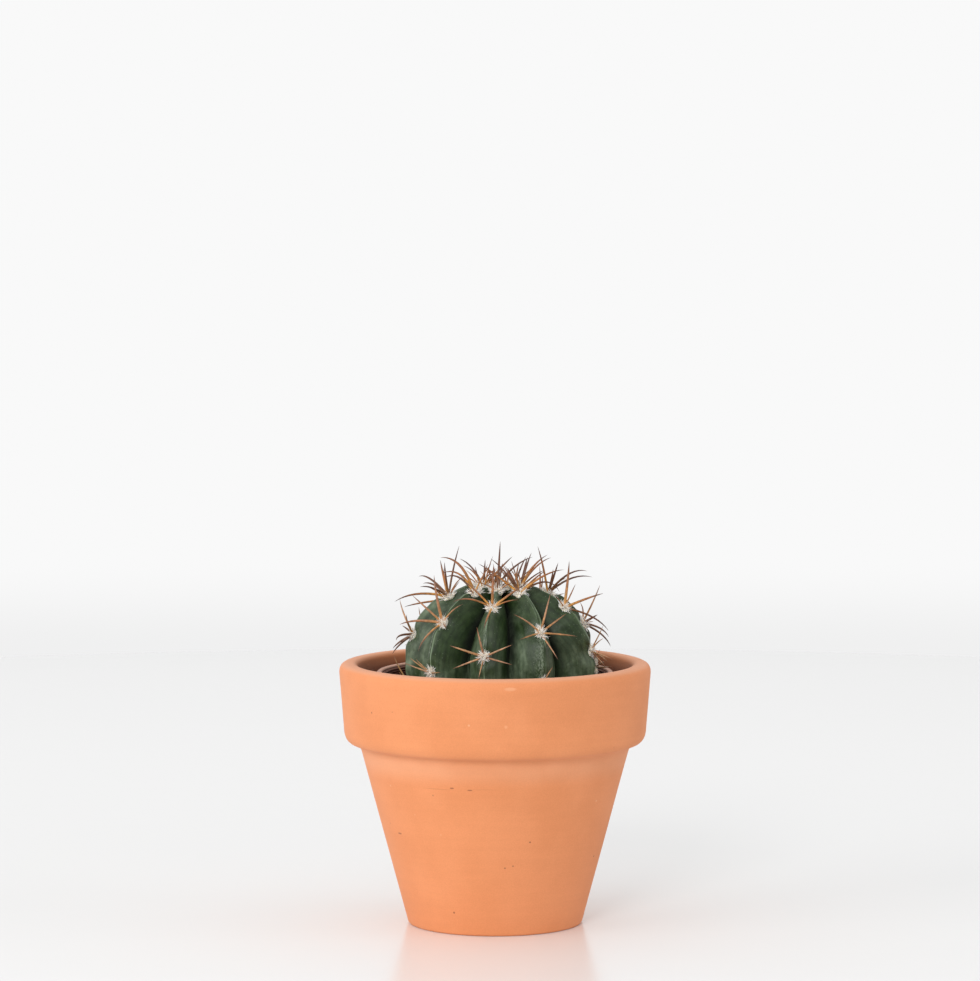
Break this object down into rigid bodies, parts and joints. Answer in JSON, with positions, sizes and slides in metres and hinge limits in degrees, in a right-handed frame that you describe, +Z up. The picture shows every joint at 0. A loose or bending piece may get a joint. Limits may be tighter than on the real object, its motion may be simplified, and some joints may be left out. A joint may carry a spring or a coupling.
{
  "type": "potted round cactus",
  "caption": "Round ribbed cactus with woolly cushions and curved spines, in a thin brown grow pot set in a plain terracotta pot with a tall collar.",
  "frame": {"origin": "centre of the clay pot's base, on the surface that the pot stands on", "axes": "+Z up along the pot's axis, -Y towards the front of the plant, +X to its right as the picture shows it"},
  "size_m": [0.11, 0.11, 0.1357],
  "materials": {
    "terracotta": "matte, fine-grained unglazed fired clay",
    "brown_plastic": "thin, slightly glossy, dusty at the rim",
    "soil": "rough, dark, crumbly",
    "plant": "waxy green skin with cream wool and tan to dark red-brown spines"
  },
  "bodies": {
    "root": {"terracotta_pot": "terracotta", "grow_pot": "brown_plastic", "potting_soil": "soil", "cactus": "plant"}
  },
  "joints": []
}
